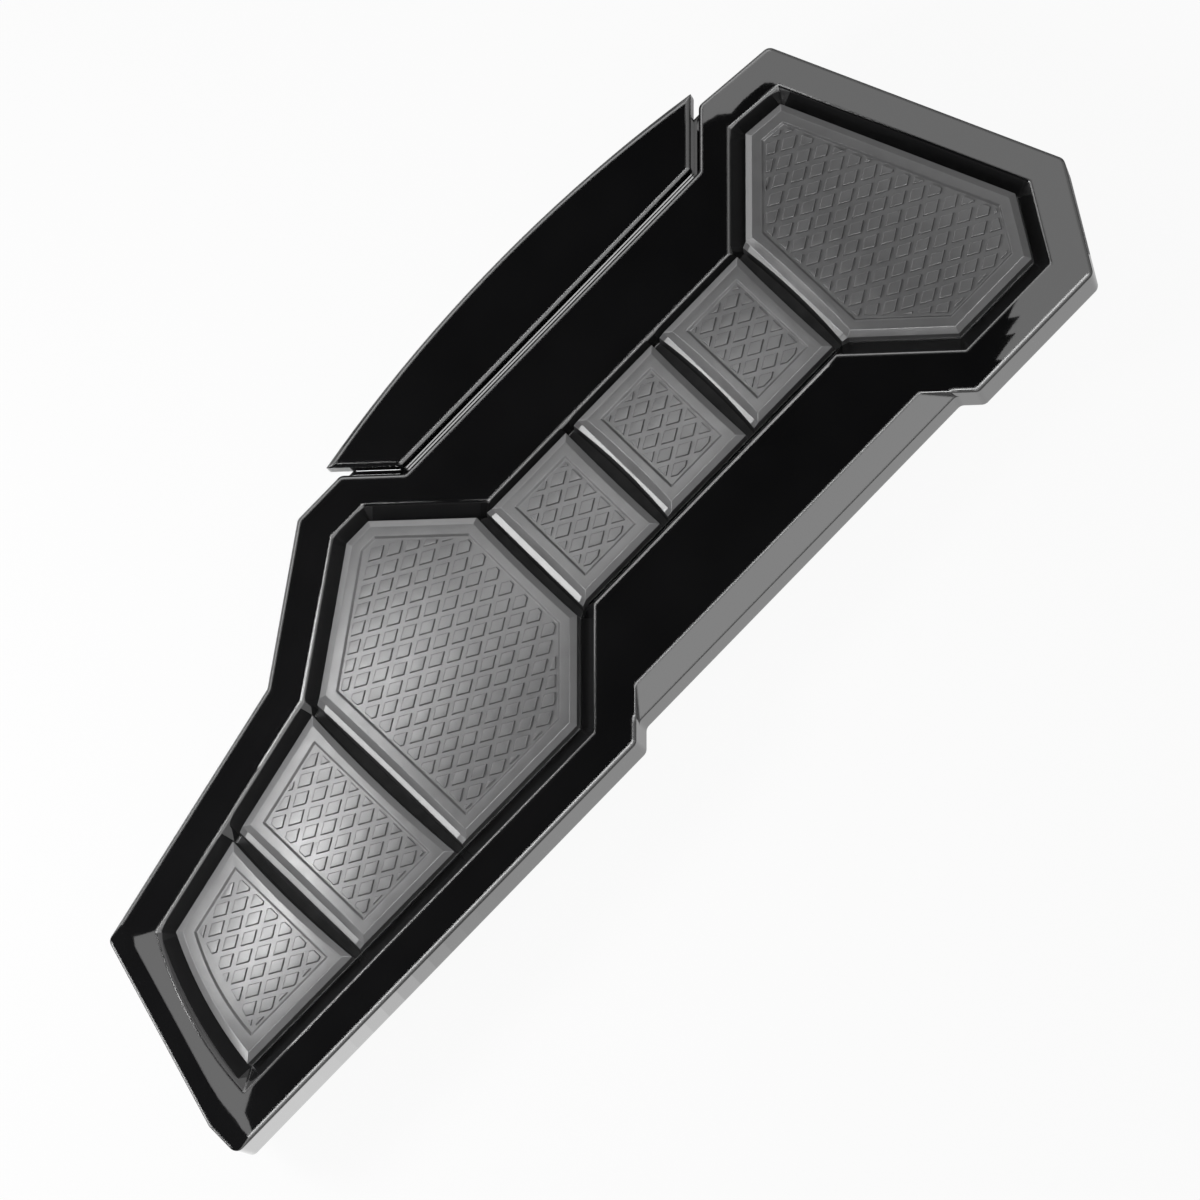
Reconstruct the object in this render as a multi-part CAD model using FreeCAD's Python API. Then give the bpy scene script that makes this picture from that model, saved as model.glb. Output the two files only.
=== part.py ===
"""Rider's floorboard for a motorcycle, left-hand side, in millimetres.

A painted aluminium casting carries a moulded rubber tread in a sloped recess and a bowed rail along
its outboard edge. Two clevises under the inboard edge take the pivot pins of the motorcycle's brackets.

+X points forward to the toe, +Y outboard and +Z up. The shapes are drawn from a datum on the tread's
centreline at the height of the casting's top face, and are moved at the end so that the origin is the
centre of the front pivot's bore.
"""

import FreeCAD
import Part

import math
import os

# Tread outline, from the heel to the toe
PAD_HALF_WIDTH = 49.8
WAIST_HALF_WIDTH = 22.3
WAIST_START_X = -6.5
SQUARE_COUNT = 3
SQUARE_PITCH = 40.6
WAIST_MARGIN = 1.2
BALL_FLAT = 10.4
INSTEP_RUN = 45.2
INSTEP_DROP = 32.1
ARCH_RUN = 85.4
ARCH_DROP = 18.9
HEEL_RAKE = 13.4
HEEL_BOW = 2.2
HEEL_GROOVE_RUN = 48.0
TOE_TOP_FLAT = 15.2
TOE_TOP_DROP = 1.5
TOE_BOTTOM_FLAT = 34.2
NOSE_RUN = 12.0
NOSE_RISE = 19.3

# Tread section
PAD_PROUD = 1.5
PAD_BEVEL = 2.3
PAD_BEVEL_DROP = 1.2
PAD_BORDER = 3.2
FIELD_DEPTH = 0.7
FIELD_SLOPE = 0.7
GROOVE_RADIUS = 2.8
DIAMOND_PITCH_X = 11.0
DIAMOND_PITCH_Y = 6.7
DIAMOND_LENGTH = 7.6
DIAMOND_WIDTH = 4.8
DIAMOND_DRAFT = 0.35
DIAMOND_MARGIN = 1.4
SMALLEST_DIAMOND_AREA = 9.0
SHORTEST_DIAMOND_EDGE = 1.7
PLUG_WIDTH = 8.0
PLUG_HEAD_WIDTH = 11.0
PLUG_HEAD_LENGTH = 4.5
BALL_PLUG_Y = 26.0

# Casting
RECESS_DEPTH = 6.0
PAN_THICKNESS = 4.5
SKIRT_DEPTH = 21.5
WALL = 4.5
MOAT = 5.0
WAIST_MOAT = 2.2
MOAT_BOW = 1.4
LAND = 13.2
HEEL_LAND = 16.3
TOE_LAND = 11.8
INBOARD_FLARE_LAND = 14.5
OUTBOARD_FLARE_LAND = 10.8
NOTCH_LAND = 37.7
RAIL_LAND = 27.9
HEEL_TRIM = 23.5
CORNER_RADIUS = 3.0
EDGE_CHAMFER = 0.9
RECESS_CHAMFER = 0.7
FACET_WIDTH = 8.1
FACET_DEPTH = 6.5
HEEL_CHAMFER_WIDTH = 6.6
HEEL_CHAMFER_DROP = 1.0
RIB_THICKNESS = 4.0
RIB_DEPTH = 6.0
CORE_ROOF = 4.5

# Outboard rail
RAIL_GAP = 2.8
RAIL_THICKNESS = 8.0
RAIL_STEP = 5.4
RAIL_BOW = 7.4
RAIL_CHAMFER = 1.0
RAIL_CORNER_RADIUS = 1.5
RAIL_OVERHANG = 3.0
LEDGE_THICKNESS = 5.0
RAIL_SCREW_COUNT = 2
RAIL_SCREW_SPACING = 90.0
RAIL_SCREW_RADIUS = 2.5
RAIL_SCREW_DEPTH = 5.2
RAIL_SCREW_HEAD_WIDTH = 8.0
RAIL_SCREW_HEAD_HEIGHT = 3.5

# Pivot clevises
CLEVIS_SPACING = 98.0
PIVOT_FROM_NOTCH = 18.2
PIVOT_DROP = 27.0
PIVOT_BORE_RADIUS = 4.0
TONGUE_GAP = 20.0
EAR_THICKNESS = 6.0
EAR_HALF_WIDTH = 9.5
EAR_REACH = 9.5
EAR_CORNER_CUT = 5.5
CLEVIS_PLATE_LENGTH = 62.0
CLEVIS_PLATE_WIDTH = 24.0
CLEVIS_PLATE_THICKNESS = 6.0
CLEVIS_CORNER_CUT = 4.0
BOSS_DROP = 1.5
BOSS_MARGIN = 2.0
CLEVIS_SCREW_SPACING = 47.0
CLEVIS_SCREW_RADIUS = 3.0
CLEVIS_SCREW_HEAD_WIDTH = 10.0
CLEVIS_SCREW_HEAD_HEIGHT = 4.0
CLEVIS_SCREW_DEPTH = 7.5

# Clearances
PAD_CLEARANCE = 0.3
PLUG_CLEARANCE = 0.2
SCREW_CLEARANCE = 0.3
THREAD_CLEARANCE = 0.05
DRILL_RUNOUT = 1.0
CUT_OVERRUN = 1.0

# Heights from the casting's top face, which is at zero
PAD_TOP = PAD_PROUD
PAD_FOOT = PAD_TOP - PAD_BEVEL_DROP
FIELD_FLOOR = PAD_TOP - FIELD_DEPTH
RECESS_FLOOR = -RECESS_DEPTH
CEILING = RECESS_FLOOR - PAN_THICKNESS
SKIRT_BOTTOM = -SKIRT_DEPTH
LEDGE_TOP = -RAIL_THICKNESS
LEDGE_CEILING = LEDGE_TOP - LEDGE_THICKNESS
BOSS_FACE = CEILING - BOSS_DROP
CLEVIS_UNDERSIDE = BOSS_FACE - CLEVIS_PLATE_THICKNESS

# Places along the board
FLARE = PAD_HALF_WIDTH - WAIST_HALF_WIDTH
WAIST_END_X = WAIST_START_X + SQUARE_COUNT * SQUARE_PITCH + 2 * WAIST_MARGIN
WAIST_CENTRE_X = (WAIST_START_X + WAIST_END_X) / 2
BALL_CORNER_X = WAIST_START_X - FLARE
INSTEP_X = BALL_CORNER_X - BALL_FLAT - INSTEP_RUN
ARCH_END_X = INSTEP_X - ARCH_RUN
TOE_CORNER_X = WAIST_END_X + FLARE
NOSE_X = TOE_CORNER_X + TOE_BOTTOM_FLAT + NOSE_RUN
GROOVE_STATIONS = [INSTEP_X - HEEL_GROOVE_RUN, INSTEP_X]
GROOVE_STATIONS += [WAIST_START_X + WAIST_MARGIN + k * SQUARE_PITCH for k in range(SQUARE_COUNT + 1)]

# Places across the board
NOTCH_Y = -(WAIST_HALF_WIDTH + WAIST_MOAT + NOTCH_LAND)
RAIL_POCKET_Y = WAIST_HALF_WIDTH + WAIST_MOAT + RAIL_LAND
RAIL_INNER_Y = RAIL_POCKET_Y + RAIL_GAP
RAIL_TIP_Y = PAD_HALF_WIDTH + MOAT + LAND + RAIL_STEP
PIVOT_Y = NOTCH_Y + PIVOT_FROM_NOTCH
PIVOT_Z = -PIVOT_DROP
REAR_PIVOT_X = WAIST_CENTRE_X - CLEVIS_SPACING / 2
FRONT_PIVOT_X = WAIST_CENTRE_X + CLEVIS_SPACING / 2
ORIGIN = FreeCAD.Vector(FRONT_PIVOT_X, PIVOT_Y, PIVOT_Z)

UP = FreeCAD.Vector(0, 0, 1)
FORWARD = FreeCAD.Vector(1, 0, 0)
OUTBOARD = FreeCAD.Vector(0, 1, 0)

# The flares run as far as they rise
FLARE_LEAN = math.radians(45)

# How near two places count as one, and how squarely an edge faces a direction
SAME_PLACE = 1e-6
FACING = 0.9


# Outlines are counter-clockwise lists of corners (x, y, bow). The bow is how far the edge that starts at
# the corner bulges outwards as an arc, and is zero for a straight edge.

def point(corner, height=0.0):
    return FreeCAD.Vector(corner[0], corner[1], height)


def edge_frame(outline, index):
    """Start point, direction and outward normal of one edge's chord."""
    start = point(outline[index])
    along = (point(outline[(index + 1) % len(outline)]) - start).normalize()
    return start, along, FreeCAD.Vector(along.y, -along.x, 0)


def shifted(outline, distances):
    """Move each edge outwards by its own distance, and meet the moved edges in new corners."""
    moved = []
    for index, corner in enumerate(outline):
        start, along, normal = edge_frame(outline, index)
        before, came_along, came_normal = edge_frame(outline, index - 1)
        here = start + normal * distances[index]
        there = before + came_normal * distances[index - 1]
        reach = (here - there).dot(normal) / came_along.dot(normal)
        meeting = there + came_along * reach
        moved.append((meeting.x, meeting.y, corner[2]))
    return moved


def grown(outline, distance):
    """Move every edge outwards by one distance, or inwards if it is negative."""
    return shifted(outline, [distance] * len(outline))


def clipped(outline, on_line, outward):
    """Cut off what lies beyond a straight line, given a point on it and the outward direction."""
    kept = []
    for index, corner in enumerate(outline):
        following = outline[(index + 1) % len(outline)]
        depth = (point(corner) - on_line).dot(outward)
        next_depth = (point(following) - on_line).dot(outward)
        if depth <= 0:
            kept.append(corner)
        if depth * next_depth < 0:
            share = depth / (depth - next_depth)
            crossing = point(corner) + (point(following) - point(corner)) * share
            kept.append((crossing.x, crossing.y, 0.0))
    return kept


def area(outline):
    """Area inside an outline, from its chords."""
    total = 0.0
    for index, (x, y, bow) in enumerate(outline):
        next_x, next_y, next_bow = outline[(index + 1) % len(outline)]
        total += (x * next_y - next_x * y) / 2
    return total


def span(start, end, bow, normal):
    """Edge from one point to another, straight or bowed outwards."""
    if bow == 0:
        return Part.LineSegment(start, end).toShape()
    return Part.Arc(start, (start + end) / 2 + normal * bow, end).toShape()


def wire(outline, height, radius=0.0):
    """Closed wire at a height, with its straight corners rounded to a radius."""
    count = len(outline)
    arrivals = []
    departures = []
    corner_arcs = []
    for index in range(count):
        here, along, normal = edge_frame(outline, index)
        before, came_along, came_normal = edge_frame(outline, index - 1)
        straight = outline[index][2] == 0 and outline[index - 1][2] == 0
        turn = came_along.getAngle(along)
        here.z = height
        if radius == 0 or not straight:
            arrivals.append(here)
            departures.append(here)
            corner_arcs.append(None)
            continue
        setback = radius * math.tan(turn / 2)
        inward = (along - came_along).normalize()
        apex = here + inward * (radius / math.cos(turn / 2) - radius)
        arrivals.append(here - came_along * setback)
        departures.append(here + along * setback)
        corner_arcs.append(Part.Arc(arrivals[-1], apex, departures[-1]).toShape())
    edges = []
    for index in range(count):
        if corner_arcs[index] is not None:
            edges.append(corner_arcs[index])
        normal = edge_frame(outline, index)[2]
        edges.append(span(departures[index], arrivals[(index + 1) % count], outline[index][2], normal))
    return Part.Wire(edges)


def prism(outline, bottom, top, radius=0.0):
    """Upright solid between two heights."""
    return Part.Face(wire(outline, bottom, radius)).extrude(UP * (top - bottom))


def side(lower, bottom, upper, top, index):
    """Face between one edge of a lower outline and the same edge of an upper one."""
    following = (index + 1) % len(lower)
    corners = [point(lower[index], bottom), point(lower[following], bottom),
               point(upper[following], top), point(upper[index], top)]
    if lower[index][2] == 0:
        return Part.Face(Part.makePolygon(corners + corners[:1]))
    normal = edge_frame(lower, index)[2]
    low_edge = span(corners[0], corners[1], lower[index][2], normal)
    high_edge = span(corners[3], corners[2], upper[index][2], normal)
    return Part.makeRuledSurface(low_edge, high_edge)


def frustum(lower, bottom, upper, top):
    """Solid between two outlines that match edge by edge, with a flat side for each straight edge."""
    faces = [side(lower, bottom, upper, top, index) for index in range(len(lower))]
    faces += [Part.Face(wire(lower, bottom)), Part.Face(wire(upper, top))]
    shell = Part.Shell(faces)
    shell.sewShape()
    solid = Part.Solid(shell)
    if solid.Volume < 0:
        solid.reverse()
    return solid


def chamfered_prism(outline, bottom, top, chamfer, radius):
    """Upright solid with rounded corners and a chamfer round its top edge."""
    shoulder = wire(outline, top - chamfer, radius)
    crest = wire(grown(outline, -chamfer), top, radius - chamfer)
    return prism(outline, bottom, top - chamfer, radius).fuse(Part.makeLoft([shoulder, crest], True, True))


def box(low_x, high_x, low_y, high_y, low_z, high_z):
    corner = FreeCAD.Vector(low_x, low_y, low_z)
    return Part.makeBox(high_x - low_x, high_y - low_y, high_z - low_z, corner)


def cylinder(radius, start, axis, length):
    return Part.makeCylinder(radius, length, start, axis)


def square(centre, width):
    half = width / 2
    corners = [(-half, -half), (half, -half), (half, half), (-half, half)]
    return [(centre.x + x, centre.y + y, 0.0) for x, y in corners]


def hexagon(centre, across_flats):
    reach = across_flats / math.sqrt(3)
    angles = [math.radians(60 * k) for k in range(6)]
    return [(centre.x + reach * math.cos(angle), centre.y + reach * math.sin(angle), 0.0) for angle in angles]


def hexagon_screw(seat, radius, length, head_width, head_height):
    """Screw that goes up from its seat, with a hexagon head below it."""
    head = prism(hexagon(seat, head_width), seat.z - head_height, seat.z)
    return head.fuse(cylinder(radius, seat, UP, length))


# Tread

def tread_outline():
    """Foot of the tread pad's sides, from the inboard heel corner and round by the toe."""
    half = PAD_HALF_WIDTH
    waist = WAIST_HALF_WIDTH
    instep_y = half - INSTEP_DROP
    return [
        (ARCH_END_X - HEEL_RAKE, -half, 0.0),
        (BALL_CORNER_X, -half, 0.0),
        (WAIST_START_X, -waist, 0.0),
        (WAIST_END_X, -waist, 0.0),
        (TOE_CORNER_X, -half, 0.0),
        (TOE_CORNER_X + TOE_BOTTOM_FLAT, -half, 0.0),
        (NOSE_X, -half + NOSE_RISE, 0.0),
        (TOE_CORNER_X + TOE_TOP_FLAT, half - TOE_TOP_DROP, 0.0),
        (TOE_CORNER_X, half, 0.0),
        (WAIST_END_X, waist, 0.0),
        (WAIST_START_X, waist, 0.0),
        (BALL_CORNER_X, half, 0.0),
        (BALL_CORNER_X - BALL_FLAT, half, 0.0),
        (INSTEP_X, instep_y, 0.0),
        (ARCH_END_X, instep_y - ARCH_DROP, HEEL_BOW),
    ]


def segment_outlines():
    """Foot outlines of the tread's segments, between the channels of neighbouring grooves."""
    outlines = []
    starts = [None] + GROOVE_STATIONS
    ends = GROOVE_STATIONS + [None]
    for start, end in zip(starts, ends):
        outline = tread_outline()
        if start is not None:
            outline = clipped(outline, FORWARD * (start + GROOVE_RADIUS), -FORWARD)
        if end is not None:
            outline = clipped(outline, FORWARD * (end - GROOVE_RADIUS), FORWARD)
        outlines.append(outline)
    return outlines


def segment_centre(outline):
    low = min(corner[0] for corner in outline)
    high = max(corner[0] for corner in outline)
    bottom = min(corner[1] for corner in outline)
    top = max(corner[1] for corner in outline)
    return FreeCAD.Vector((low + high) / 2, (bottom + top) / 2, 0)


def diamond(centre):
    half_x = DIAMOND_LENGTH / 2
    half_y = DIAMOND_WIDTH / 2
    x, y = centre.x, centre.y
    return [(x - half_x, y, 0.0), (x, y - half_y, 0.0), (x + half_x, y, 0.0), (x, y + half_y, 0.0)]


def merged(outline, shortest):
    """Join neighbouring corners that are closer than the shortest edge allowed."""
    kept = []
    for index, corner in enumerate(outline):
        if (point(corner) - point(outline[index - 1])).Length >= shortest:
            kept.append(corner)
    return kept


def diamonds(outline):
    """Raised diamonds of one segment's field, in a staggered grid cut off at the field's margin."""
    inset = PAD_BEVEL + PAD_BORDER + FIELD_SLOPE + DIAMOND_MARGIN
    bounds = grown(outline, -inset)
    centre = segment_centre(outline)
    reach = int(PAD_HALF_WIDTH * 2 / DIAMOND_PITCH_Y)
    solids = []
    for column in range(-reach, reach + 1):
        for row in range(-reach, reach + 1):
            if (column + row) % 2:
                continue
            step = FreeCAD.Vector(column * DIAMOND_PITCH_X / 2, row * DIAMOND_PITCH_Y / 2, 0)
            base = diamond(centre + step)
            for index in range(len(bounds)):
                on_line, along, normal = edge_frame(bounds, index)
                base = clipped(base, on_line, normal)
            base = merged(base, SHORTEST_DIAMOND_EDGE)
            if len(base) < 3 or area(base) < SMALLEST_DIAMOND_AREA:
                continue
            solids.append(frustum(base, FIELD_FLOOR, grown(base, -DIAMOND_DRAFT), PAD_TOP))
    return solids


def segment(outline):
    """Bevelled top of one segment, with a sunk field of diamonds."""
    field = grown(outline, -PAD_BEVEL - PAD_BORDER)
    top = frustum(outline, PAD_FOOT, grown(outline, -PAD_BEVEL), PAD_TOP)
    pocket = frustum(grown(field, -FIELD_SLOPE), FIELD_FLOOR, field, PAD_TOP)
    return top.cut(pocket).fuse(diamonds(outline))


def plug_places():
    """Places of the plugs: one in each narrow segment and two in the ball and the toe."""
    outlines = segment_outlines()
    ball = segment_centre(outlines[2])
    toe = segment_centre(outlines[-1])
    places = [segment_centre(outline) for outline in outlines[:2]]
    places += [segment_centre(outlines[k]) for k in range(3, 3 + SQUARE_COUNT, 2)]
    for centre in (ball, toe):
        places += [FreeCAD.Vector(centre.x, side * BALL_PLUG_Y, 0) for side in (-1, 1)]
    return places


def plug(place):
    """Square stud through the pan with a tapered head that snaps out below it."""
    shoulder = CEILING - PLUG_CLEARANCE
    stud = prism(square(place, PLUG_WIDTH), shoulder, RECESS_FLOOR)
    head = frustum(square(place, PLUG_WIDTH), shoulder - PLUG_HEAD_LENGTH,
                   square(place, PLUG_HEAD_WIDTH), shoulder)
    return stud.fuse(head)


def tread_pad():
    body = prism(tread_outline(), RECESS_FLOOR, PAD_FOOT)
    channels = []
    for station in GROOVE_STATIONS:
        reach = PAD_HALF_WIDTH + CUT_OVERRUN
        start = FreeCAD.Vector(station, -reach, PAD_FOOT)
        channels.append(cylinder(GROOVE_RADIUS, start, OUTBOARD, 2 * reach))
    body = body.cut(channels)
    tops = [segment(outline) for outline in segment_outlines()]
    plugs = [plug(place) for place in plug_places()]
    return body.fuse(tops + plugs).removeSplitter()


# Casting

def edge_distances(general, inboard_flare, inboard_waist, toe_front, outboard_flare, outboard_waist, heel):
    """One distance for each edge of the tread outline, in its order."""
    return [
        general, inboard_flare, inboard_waist, inboard_flare, general, general, toe_front, general,
        outboard_flare, outboard_waist, outboard_flare, general, general, general, heel,
    ]


def recess_outline():
    """Top edge of the recess round the tread."""
    outline = tread_outline()
    heel_x, heel_y, heel_bow = outline[-1]
    outline[-1] = (heel_x, heel_y, heel_bow + MOAT_BOW)
    return shifted(outline, edge_distances(MOAT, MOAT, WAIST_MOAT, MOAT, MOAT, WAIST_MOAT, MOAT))


def board_outline():
    """Outside of the casting's top, with the inboard notch and the pocket beside the rail."""
    straight = [(x, y, 0.0) for x, y, bow in tread_outline()]
    distances = edge_distances(
        MOAT + LAND,
        MOAT + INBOARD_FLARE_LAND,
        WAIST_MOAT + NOTCH_LAND,
        MOAT + TOE_LAND,
        MOAT + OUTBOARD_FLARE_LAND,
        WAIST_MOAT + RAIL_LAND,
        MOAT + HEEL_LAND,
    )
    outline = shifted(straight, distances)
    heel_limit = FORWARD * (straight[0][0] - HEEL_TRIM)
    return clipped(outline, heel_limit, -FORWARD)


def rail_outline():
    """Plan of the rail: its inner edges follow the pocket at the gap, and its outer edge is an arc."""
    pocket = board_outline()
    inner = [k for k, corner in enumerate(pocket) if abs(corner[1] - RAIL_POCKET_Y) < SAME_PLACE]
    toe_side, heel_side = (pocket[k] for k in inner)
    spread = RAIL_GAP * math.tan(FLARE_LEAN / 2)
    run = (RAIL_TIP_Y - RAIL_INNER_Y) / math.tan(FLARE_LEAN)
    toe_x = toe_side[0] - spread
    heel_x = heel_side[0] + spread
    return [
        (heel_x, RAIL_INNER_Y, 0.0),
        (toe_x, RAIL_INNER_Y, 0.0),
        (toe_x + run, RAIL_TIP_Y, RAIL_BOW),
        (heel_x - run, RAIL_TIP_Y, 0.0),
    ]


def ledge_outlines():
    """Floor of the pocket beside the rail, and the bow below the rail, which is set in from its edges."""
    pocket_floor = [corner for corner in board_outline() if abs(corner[1] - RAIL_POCKET_Y) > SAME_PLACE]
    bow = shifted(rail_outline(), [RAIL_GAP + WALL, -RAIL_OVERHANG, -RAIL_OVERHANG, -RAIL_OVERHANG])
    return pocket_floor, bow


def ledge_hollow_outline():
    """Inside of the skirt below the ledge."""
    outer = -RAIL_OVERHANG - WALL
    return shifted(rail_outline(), [0, outer, outer, outer])


def rail_screw_places():
    """Screw centres in the middle of the hollow below the ledge, between its inner edge and its arc."""
    hollow = ledge_hollow_outline()
    toe_x, chord_y, bow = hollow[2]
    half_chord = (toe_x - hollow[3][0]) / 2
    radius = (half_chord ** 2 + bow ** 2) / (2 * bow)
    places = []
    for k in range(RAIL_SCREW_COUNT):
        offset = (k - (RAIL_SCREW_COUNT - 1) / 2) * RAIL_SCREW_SPACING
        arc_y = chord_y + bow - radius + math.sqrt(radius ** 2 - offset ** 2)
        places.append(FreeCAD.Vector(WAIST_CENTRE_X + offset, (RAIL_INNER_Y + arc_y) / 2, 0))
    return places


def clevis_places():
    """Points on the two pivot axes, at the middle of each clevis."""
    return [FreeCAD.Vector(x, PIVOT_Y, PIVOT_Z) for x in (REAR_PIVOT_X, FRONT_PIVOT_X)]


def clevis_screw_places(place):
    half = CLEVIS_SCREW_SPACING / 2
    return [FreeCAD.Vector(place.x + side * half, place.y, BOSS_FACE) for side in (-1, 1)]


def facet():
    """Wedge that is cut from the notch's top edge."""
    high = NOTCH_Y + FACET_WIDTH
    over = EDGE_CHAMFER
    slope = FACET_DEPTH / FACET_WIDTH
    low_x = BALL_CORNER_X
    section = Part.makePolygon([
        FreeCAD.Vector(low_x, NOTCH_Y - over, -FACET_DEPTH - over * slope),
        FreeCAD.Vector(low_x, high + over, over * slope),
        FreeCAD.Vector(low_x, NOTCH_Y - over, over * slope),
        FreeCAD.Vector(low_x, NOTCH_Y - over, -FACET_DEPTH - over * slope),
    ])
    wedge = Part.Face(section).extrude(FORWARD * (TOE_CORNER_X - BALL_CORNER_X))
    straight = [(x, y, 0.0) for x, y, bow in tread_outline()]
    flare_limit = grown(straight, MOAT + INBOARD_FLARE_LAND)
    mouth = [flare_limit[1], flare_limit[4], flare_limit[3], flare_limit[2]]
    return wedge.common(prism(mouth, -SKIRT_DEPTH, SKIRT_DEPTH))


def heel_chamfer():
    """Thin wedge that is cut from the rim behind the heel."""
    outline = board_outline()
    rim = grown(outline, EDGE_CHAMFER)
    cutters = []
    for index in range(len(outline)):
        start, along, normal = edge_frame(outline, index)
        if normal.x > -FACING:
            continue
        slope = HEEL_CHAMFER_DROP / HEEL_CHAMFER_WIDTH
        end = point(outline[(index + 1) % len(outline)])
        inner = start - normal * HEEL_CHAMFER_WIDTH
        outer = start + normal * HEEL_CHAMFER_WIDTH
        length = (end - start).Length
        section = Part.makePolygon([
            inner - along * HEEL_CHAMFER_WIDTH,
            outer - along * HEEL_CHAMFER_WIDTH - UP * (2 * HEEL_CHAMFER_WIDTH * slope),
            outer - along * HEEL_CHAMFER_WIDTH + UP * CUT_OVERRUN,
            inner - along * HEEL_CHAMFER_WIDTH + UP * CUT_OVERRUN,
            inner - along * HEEL_CHAMFER_WIDTH,
        ])
        cutters.append(Part.Face(section).extrude(along * (length + 2 * HEEL_CHAMFER_WIDTH)))
    keep = prism(rim, -SKIRT_DEPTH, SKIRT_DEPTH)
    return [cutter.common(keep) for cutter in cutters]


def recess():
    """Sloped recess for the tread, with a chamfered top edge."""
    top = recess_outline()
    foot = grown(tread_outline(), PAD_CLEARANCE)
    lower = frustum(foot, RECESS_FLOOR, top, -RECESS_CHAMFER)
    upper = frustum(top, -RECESS_CHAMFER, grown(top, RECESS_CHAMFER), 0)
    return lower.fuse(upper)


def ribs(hollow):
    """Cross ribs under the grooves, and clear of the clevises."""
    low, high = -2 * PAD_HALF_WIDTH, 2 * PAD_HALF_WIDTH
    half = RIB_THICKNESS / 2
    bars = [box(x - half, x + half, low, high, CEILING - RIB_DEPTH, CEILING) for x in GROOVE_STATIONS]
    room = CLEVIS_PLATE_WIDTH / 2 + BOSS_MARGIN + WALL
    bay = box(BALL_CORNER_X, TOE_CORNER_X, low, PIVOT_Y + room, SKIRT_BOTTOM, CEILING)
    return [bar.common(hollow).cut(bay) for bar in bars]


def bosses():
    """Solid pads under the inboard land that the clevises bolt up to."""
    half_x = CLEVIS_PLATE_LENGTH / 2 + BOSS_MARGIN
    half_y = CLEVIS_PLATE_WIDTH / 2 + BOSS_MARGIN
    solids = []
    for place in clevis_places():
        solids.append(box(place.x - half_x, place.x + half_x, place.y - half_y, place.y + half_y,
                          BOSS_FACE, CEILING))
    return solids


def outboard_core():
    """Pocket from below that thins the land between the recess and the rail."""
    low_y = WAIST_HALF_WIDTH + WAIST_MOAT + WALL
    high_y = RAIL_POCKET_Y - WALL
    solids = []
    for start, end in zip(GROOVE_STATIONS[2:], GROOVE_STATIONS[3:]):
        half = RIB_THICKNESS / 2
        solids.append(box(start + half, end - half, low_y, high_y, CEILING, -CORE_ROOF))
    return solids


def board_casting():
    board = chamfered_prism(board_outline(), SKIRT_BOTTOM, 0, EDGE_CHAMFER, CORNER_RADIUS)
    pocket_floor, bow = ledge_outlines()
    ledge = prism(pocket_floor, SKIRT_BOTTOM, LEDGE_TOP, CORNER_RADIUS)
    board = board.fuse([ledge, prism(bow, SKIRT_BOTTOM, LEDGE_TOP)])
    hollow = prism(grown(board_outline(), -WALL), SKIRT_BOTTOM, CEILING)
    ledge_hollow = prism(ledge_hollow_outline(), SKIRT_BOTTOM, LEDGE_CEILING)
    board = board.cut([hollow, ledge_hollow, recess(), facet()] + heel_chamfer() + outboard_core())
    board = board.fuse(ribs(hollow) + bosses())
    holes = []
    for place in plug_places():
        holes.append(prism(square(place, PLUG_WIDTH + 2 * PLUG_CLEARANCE), CEILING, RECESS_FLOOR))
    for place in rail_screw_places():
        holes.append(cylinder(RAIL_SCREW_RADIUS + SCREW_CLEARANCE, place + UP * LEDGE_CEILING, UP,
                              LEDGE_THICKNESS))
    for clevis_place in clevis_places():
        for place in clevis_screw_places(clevis_place):
            holes.append(cylinder(CLEVIS_SCREW_RADIUS + THREAD_CLEARANCE, place, UP,
                                  CLEVIS_SCREW_DEPTH + DRILL_RUNOUT))
    return board.cut(holes).removeSplitter()


# Rail and its fasteners

def outboard_rail():
    rail = chamfered_prism(rail_outline(), LEDGE_TOP, 0, RAIL_CHAMFER, RAIL_CORNER_RADIUS)
    holes = []
    for place in rail_screw_places():
        holes.append(cylinder(RAIL_SCREW_RADIUS + THREAD_CLEARANCE, place + UP * LEDGE_TOP, UP,
                              RAIL_SCREW_DEPTH + DRILL_RUNOUT))
    return rail.cut(holes)


def rail_screw(place):
    """Screw that comes up through the ledge into the rail."""
    seat = place + UP * LEDGE_CEILING
    return hexagon_screw(seat, RAIL_SCREW_RADIUS, LEDGE_THICKNESS + RAIL_SCREW_DEPTH,
                         RAIL_SCREW_HEAD_WIDTH, RAIL_SCREW_HEAD_HEIGHT)


# Pivot clevises and their fasteners

def ear(place, low_x):
    """One ear: a flat lug that reaches past the pivot, with its lower corners cut off."""
    half = EAR_HALF_WIDTH
    low = place.z - EAR_REACH
    cut = EAR_CORNER_CUT
    profile = [(-half, CLEVIS_UNDERSIDE), (-half, low + cut), (-half + cut, low),
               (half - cut, low), (half, low + cut), (half, CLEVIS_UNDERSIDE)]
    corners = [FreeCAD.Vector(low_x, place.y + y, z) for y, z in profile]
    return Part.Face(Part.makePolygon(corners + corners[:1])).extrude(FORWARD * EAR_THICKNESS)


def clevis_plate_outline(place):
    """Plate with its corners cut off."""
    half_x = CLEVIS_PLATE_LENGTH / 2
    half_y = CLEVIS_PLATE_WIDTH / 2
    short_x = half_x - CLEVIS_CORNER_CUT
    short_y = half_y - CLEVIS_CORNER_CUT
    steps = [(-short_x, -half_y), (short_x, -half_y), (half_x, -short_y), (half_x, short_y),
             (short_x, half_y), (-short_x, half_y), (-half_x, short_y), (-half_x, -short_y)]
    return [(place.x + x, place.y + y, 0.0) for x, y in steps]


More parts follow.
